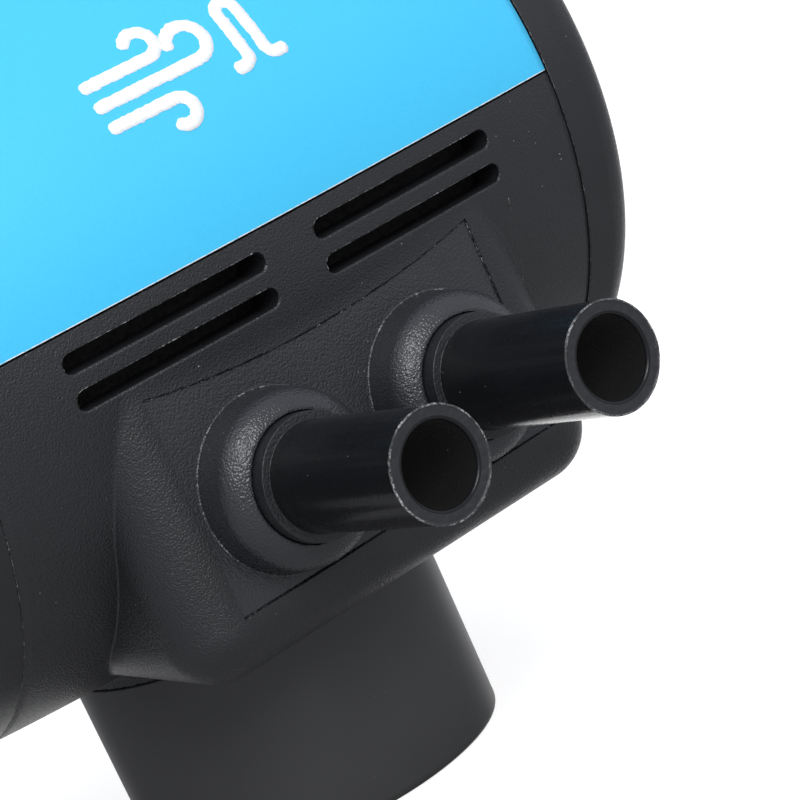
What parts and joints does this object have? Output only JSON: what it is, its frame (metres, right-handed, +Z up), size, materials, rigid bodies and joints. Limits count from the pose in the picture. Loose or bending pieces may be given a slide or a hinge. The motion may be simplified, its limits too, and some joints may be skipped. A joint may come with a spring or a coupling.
{
  "type": "pneumatic pulsator",
  "caption": "Barrel-shaped vacuum pulsator with hose nozzles on the front, a rubber vacuum cuff below, a labelled top, and a twin-diaphragm shuttle that flips slide valves over centre.",
  "frame": {"origin": "centre of the flat seat at the top of the vacuum socket, under the barrel", "axes": "+X along the barrel, -Y towards the nozzles, +Z up, so the seat faces -Z"},
  "size_m": [0.0772, 0.0872, 0.0847],
  "materials": {
    "housing_plastic": "fine moulded grain",
    "nozzle_plastic": "smooth, glossy",
    "label_film": "satin printed film",
    "cuff_rubber": "smooth, soft matte",
    "diaphragm_rubber": "matte",
    "steel": "bright",
    "brass": "turned",
    "acetal": "smooth natural",
    "filter_foam": "open-cell foam"
  },
  "bodies": {
    "housing": {"lower_housing": "housing_plastic", "top_cover": "housing_plastic", "cover_label": "label_film", "outlet_plate": "housing_plastic", "vacuum_cuff": "cuff_rubber", "air_filter": "filter_foam", "filter_retainer": "housing_plastic", "left_end_cap": "housing_plastic", "left_cap_screw_1": "steel", "left_cap_screw_2": "steel", "left_cap_screw_3": "steel", "left_cap_screw_4": "steel", "left_diaphragm": "diaphragm_rubber", "left_rod_bush": "acetal", "left_nozzle": "nozzle_plastic", "left_nozzle_seal": "cuff_rubber", "right_end_cap": "housing_plastic", "right_cap_screw_1": "steel", "right_cap_screw_2": "steel", "right_cap_screw_3": "steel", "right_cap_screw_4": "steel", "right_diaphragm": "diaphragm_rubber", "right_rod_bush": "acetal", "right_nozzle": "nozzle_plastic", "right_nozzle_seal": "cuff_rubber", "front_pivot_pin": "steel", "rear_pivot_pin": "steel", "main_valve_seat": "acetal", "main_seat_gasket": "cuff_rubber", "main_seat_screw_1": "steel", "main_seat_screw_2": "steel", "pilot_valve_seat": "acetal", "pilot_seat_gasket": "cuff_rubber", "pilot_seat_screw_1": "steel", "pilot_seat_screw_2": "steel", "rate_insert": "brass", "metering_spring": "steel"},
    "shuttle": {"shuttle_rod": "steel", "toggle_yoke": "acetal", "yoke_set_screw": "steel", "spring_pin": "steel", "left_inner_plate": "acetal", "left_outer_plate": "acetal", "left_rod_screw": "steel", "right_inner_plate": "acetal", "right_outer_plate": "acetal", "right_rod_screw": "steel"},
    "rocker": {"rocker": "acetal", "front_toggle_spring": "steel", "rear_toggle_spring": "steel"},
    "main_valve": {"main_slide": "acetal"},
    "pilot_valve": {"pilot_slide": "acetal"},
    "metering": {"metering_pin": "brass"},
    "rate_control": {"rate_screw": "brass", "rate_screw_seal": "cuff_rubber"}
  },
  "joints": [
    {"name": "shuttle_slide", "type": "slide", "parent": "housing", "child": "shuttle", "axis": [1, 0, 0], "range_m": [-0.003, 0.003], "deforming": ["left_diaphragm", "right_diaphragm", "front_toggle_spring", "rear_toggle_spring"]},
    {"name": "rocker_turn", "type": "hinge", "parent": "housing", "child": "rocker", "pos_m": [0, 0, 0.037], "axis": [0, -1, 0], "range_deg": [-12, 12]},
    {"name": "main_valve_slide", "type": "slide", "parent": "housing", "child": "main_valve", "axis": [1, 0, 0], "range_m": [-0.00252, 0.00252]},
    {"name": "pilot_valve_slide", "type": "slide", "parent": "housing", "child": "pilot_valve", "axis": [1, 0, 0], "range_m": [-0.00252, 0.00252]},
    {"name": "metering_slide", "type": "slide", "parent": "housing", "child": "metering", "axis": [0, 1, 0], "range_m": [-0.0012, 0], "deforming": ["metering_spring"]},
    {"name": "rate_screw_turn", "type": "hinge", "parent": "metering", "child": "rate_control", "pos_m": [0, 0.024, 0.009], "axis": [0, 1, 0], "range_deg": [-540, 0]}
  ],
  "couplings": [
    {"joint": "main_valve_slide", "follows": "rocker_turn", "m_per_rad": 0.012},
    {"joint": "pilot_valve_slide", "follows": "rocker_turn", "m_per_rad": 0.012},
    {"joint": "rate_screw_turn", "follows": "metering_slide", "rad_per_m": 7854}
  ]
}
